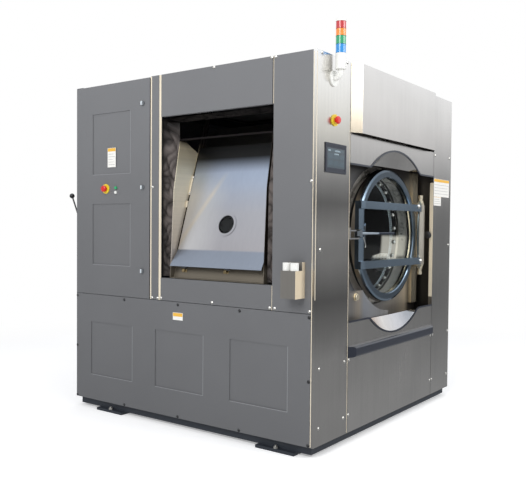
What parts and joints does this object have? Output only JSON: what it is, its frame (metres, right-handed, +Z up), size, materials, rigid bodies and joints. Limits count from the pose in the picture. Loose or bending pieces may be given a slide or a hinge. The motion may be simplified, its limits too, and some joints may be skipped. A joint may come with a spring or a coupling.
{
  "type": "barrier washer",
  "caption": "Free-standing barrier washer: a tilted tub door in the painted loading side, a round glass door in the stainless unloading side, and a belt-driven drum between them.",
  "frame": {"origin": "under the middle of the overall box, on the floor", "axes": "+Z up, -Y towards the loading side, +X towards the stainless unloading side"},
  "size_m": [2.006, 1.953, 2.235],
  "materials": {
    "grey_paint": "satin powder coat",
    "frame_paint": "satin",
    "stainless": "brushed",
    "polished_steel": "polished",
    "dark_trim": "satin",
    "black_rubber": "matt",
    "black_plastic": "satin",
    "cloth": "coated cloth",
    "clear_glass": "clear",
    "screen": "gloss",
    "yellow_plastic": "satin",
    "red_plastic": "satin",
    "green_plastic": "satin",
    "white_plastic": "satin",
    "lens_plastic": "translucent",
    "cast_iron": "painted",
    "bright_steel": "bright"
  },
  "bodies": {
    "cabinet": {"base_frame": "frame_paint", "upper_frame": "frame_paint", "front_top_panel": "grey_paint", "front_sill_panel": "grey_paint", "front_column_strip": "grey_paint", "front_right_column": "grey_paint", "front_lower_panel": "grey_paint", "electrical_box": "grey_paint", "side_stop_ring": "yellow_plastic", "near_column_panel": "stainless", "far_column_panel": "stainless", "upper_wave_panel": "stainless", "lower_wave_panel": "stainless", "wave_trims": "dark_trim", "hood": "stainless", "bumper_rail": "dark_trim", "door_surround": "stainless", "top_cover": "stainless", "rear_panel": "grey_paint", "left_panel": "grey_paint", "dosing_box": "stainless", "dosing_caps": "white_plastic", "touch_screen": "screen", "signal_tower_body": "white_plastic", "signal_lenses": "lens_plastic", "tub_shell": "stainless", "tub_front_plate": "stainless", "door_gasket": "black_rubber", "bearing_housing": "cast_iron", "bearings": "bright_steel", "drive_belt": "black_rubber", "drive_motor": "cast_iron", "air_springs": "black_rubber", "drain_outlet": "stainless", "water_inlets": "bright_steel", "loading_chute": "stainless", "clamp_keeper": "polished_steel", "door_hinge_post": "stainless", "hygiene_curtain": "cloth"},
    "cabinet_door": {"cabinet_door": "grey_paint", "front_stop_ring": "yellow_plastic"},
    "latch_low": {"cabinet_latch_low": "black_plastic"},
    "latch_middle": {"cabinet_latch_middle": "black_plastic"},
    "latch_high": {"cabinet_latch_high": "black_plastic"},
    "front_stop": {"front_stop_button": "red_plastic"},
    "side_stop": {"side_stop_button": "red_plastic"},
    "start_button": {"start_button": "green_plastic"},
    "stop_button": {"stop_button": "white_plastic"},
    "side_lever": {"side_lever": "black_plastic"},
    "round_door": {"door_ring": "polished_steel", "door_glass": "clear_glass", "door_frame": "polished_steel"},
    "clamp_lever": {"clamp_lever": "polished_steel"},
    "tub_door": {"tub_door": "stainless", "tub_door_window": "clear_glass"},
    "drum": {"drum_shell": "polished_steel", "drum_shaft": "bright_steel", "drum_pulley": "cast_iron"},
    "drum_hatch": {"drum_hatch": "polished_steel"},
    "motor_pulley": {"motor_pulley": "cast_iron"}
  },
  "joints": [
    {"name": "cabinet_door_hinge", "type": "hinge", "parent": "cabinet", "child": "cabinet_door", "pos_m": [-0.882, -0.8815, 1.4], "axis": [0, 0, -1], "range_deg": [0, 110]},
    {"name": "side_stop_press", "type": "slide", "parent": "cabinet", "child": "side_stop", "axis": [-1, 0, 0], "range_m": [0, 0.006], "stiffness_N_per_m": 1500},
    {"name": "side_lever_turn", "type": "hinge", "parent": "cabinet", "child": "side_lever", "pos_m": [-0.902, -0.8515, 1.2], "axis": [0, -1, 0], "range_deg": [0, 80]},
    {"name": "round_door_hinge", "type": "hinge", "parent": "cabinet", "child": "round_door", "pos_m": [0.91, 0.4475, 1.13], "axis": [0, 0, 1], "range_deg": [0, 120]},
    {"name": "tub_door_slide", "type": "slide", "parent": "cabinet", "child": "tub_door", "axis": [0, 0.3007, 0.9537], "range_m": [0, 0.38]},
    {"name": "drum_spin", "type": "hinge", "parent": "cabinet", "child": "drum", "pos_m": [-0.19, 0.0325, 1.13], "axis": [1, 0, 0], "continuous": true},
    {"name": "motor_spin", "type": "hinge", "parent": "cabinet", "child": "motor_pulley", "pos_m": [-0.69, -0.3295, 0.39], "axis": [1, 0, 0], "continuous": true},
    {"name": "front_stop_press", "type": "slide", "parent": "cabinet_door", "child": "front_stop", "axis": [0, 1, 0], "range_m": [0, 0.006], "stiffness_N_per_m": 1500},
    {"name": "start_press", "type": "slide", "parent": "cabinet_door", "child": "start_button", "axis": [0, 1, 0], "range_m": [0, 0.004], "stiffness_N_per_m": 1000},
    {"name": "stop_press", "type": "slide", "parent": "cabinet_door", "child": "stop_button", "axis": [0, 1, 0], "range_m": [0, 0.004], "stiffness_N_per_m": 1000},
    {"name": "clamp_turn", "type": "hinge", "parent": "round_door", "child": "clamp_lever", "pos_m": [0.934, -0.4115, 1.144], "axis": [0, 0, -1], "range_deg": [0, 80]},
    {"name": "hatch_slide", "type": "hinge", "parent": "drum", "child": "drum_hatch", "pos_m": [0.275, 0.0325, 1.13], "axis": [-1, 0, 0], "range_deg": [0, 45]},
    {"name": "latch_low_turn", "type": "hinge", "parent": "cabinet_door", "child": "latch_low", "pos_m": [-0.285, -0.8895, 0.904], "axis": [0, -1, 0], "range_deg": [0, 90]},
    {"name": "latch_middle_turn", "type": "hinge", "parent": "cabinet_door", "child": "latch_middle", "pos_m": [-0.285, -0.8895, 1.407], "axis": [0, -1, 0], "range_deg": [0, 90]},
    {"name": "latch_high_turn", "type": "hinge", "parent": "cabinet_door", "child": "latch_high", "pos_m": [-0.285, -0.8895, 1.909], "axis": [0, -1, 0], "range_deg": [0, 90]}
  ],
  "couplings": [
    {"joint": "motor_spin", "follows": "drum_spin", "ratio": 3.7778}
  ]
}
